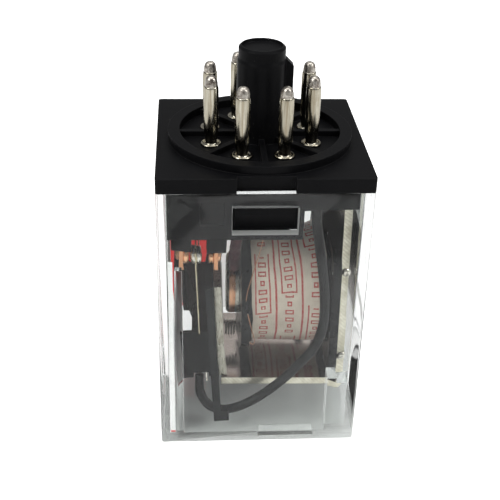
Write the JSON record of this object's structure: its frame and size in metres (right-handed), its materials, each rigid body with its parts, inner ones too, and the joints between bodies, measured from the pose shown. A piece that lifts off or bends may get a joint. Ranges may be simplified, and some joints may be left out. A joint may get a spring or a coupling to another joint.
{
  "type": "plug-in relay",
  "caption": "Plug-in electromagnetic relay: black keyed base with a ring of plug pins, clear push-fit cover, and inside it a coil, armature and change-over contacts.",
  "frame": {"origin": "centre of the outside of the cover's end wall, on which the relay stands with its pins up", "axes": "+Z from the end wall along the spigot to its tip, -Y the front face, +X the side of the spigot's key"},
  "size_m": [0.0336, 0.0329, 0.0662],
  "materials": {
    "base_black": "semi-gloss moulded thermoset",
    "pin_nickel": "polished nickel plate",
    "tip_solder": "dull reflowed solder",
    "cover_clear": "clear polycarbonate",
    "label_film": "printed film",
    "yoke_iron": "yellow-zinc plated soft iron",
    "core_iron": "bright soft iron",
    "rivet_bright": "bright plated",
    "shading_copper": "bare copper",
    "bobbin_plastic": "matt moulding",
    "winding_enamel": "enamelled copper wire",
    "coil_tape_film": "printed paper tape",
    "sleeve_maroon": "varnished cotton sleeving",
    "strip_copper": "rolled copper alloy",
    "contact_copper": "copper rivet",
    "contact_silver": "fine silver",
    "spring_bronze": "nickel-silver strip",
    "lead_rubber": "soft insulation",
    "spring_steel": "music wire",
    "card_black": "matt moulding"
  },
  "bodies": {
    "root": {"base": "base_black", "cover": "cover_clear", "rear_label": "label_film", "side_label": "label_film", "pin_tip_solder": "tip_solder", "yoke": "yoke_iron", "yoke_rivets": "rivet_bright", "core": "core_iron", "shading_ring": "shading_copper", "bobbin": "bobbin_plastic", "coil_winding": "winding_enamel", "coil_tape": "coil_tape_film", "coil_sleeve_front": "sleeve_maroon", "coil_sleeve_rear": "sleeve_maroon", "coil_start_wire": "winding_enamel", "coil_end_wire": "winding_enamel", "return_spring": "spring_steel", "plug_pin_1": "pin_nickel", "plug_pin_2": "pin_nickel", "plug_pin_3": "pin_nickel", "plug_pin_4": "pin_nickel", "plug_pin_5": "pin_nickel", "plug_pin_6": "pin_nickel", "plug_pin_7": "pin_nickel", "plug_pin_8": "pin_nickel", "nc_strip_front": "strip_copper", "no_strip_front": "strip_copper", "nc_contact_front": "contact_copper", "no_contact_front": "contact_copper", "flexible_lead_front": "lead_rubber", "nc_strip_rear": "strip_copper", "no_strip_rear": "strip_copper", "nc_contact_rear": "contact_copper", "no_contact_rear": "contact_copper", "flexible_lead_rear": "lead_rubber"},
    "armature": {"armature": "yoke_iron", "armature_card": "card_black", "contact_block": "card_black", "armature_rivets": "rivet_bright", "spring_tag_front": "spring_bronze", "spring_tag_rear": "spring_bronze"},
    "contact_springs": {"moving_spring_front": "spring_bronze", "moving_spring_rear": "spring_bronze", "moving_contact_front": "contact_silver", "moving_contact_rear": "contact_silver"}
  },
  "joints": [
    {"name": "armature_hinge", "type": "hinge", "parent": "root", "child": "armature", "pos_m": [-0.0061, 0, 0.0091], "axis": [0, 1, 0], "range_deg": [0, 3.3], "stiffness_Nm_per_rad": 0.02, "springref_deg": -5.73, "deforming": ["return_spring", "flexible_lead_front", "flexible_lead_rear"]},
    {"name": "contact_flex", "type": "hinge", "parent": "armature", "child": "contact_springs", "pos_m": [-0.0103, 0, 0.01887], "axis": [0, 1, 0], "range_deg": [-1.35, 0]}
  ],
  "couplings": [
    {"joint": "contact_flex", "follows": "armature_hinge", "ratio": -0.4}
  ]
}
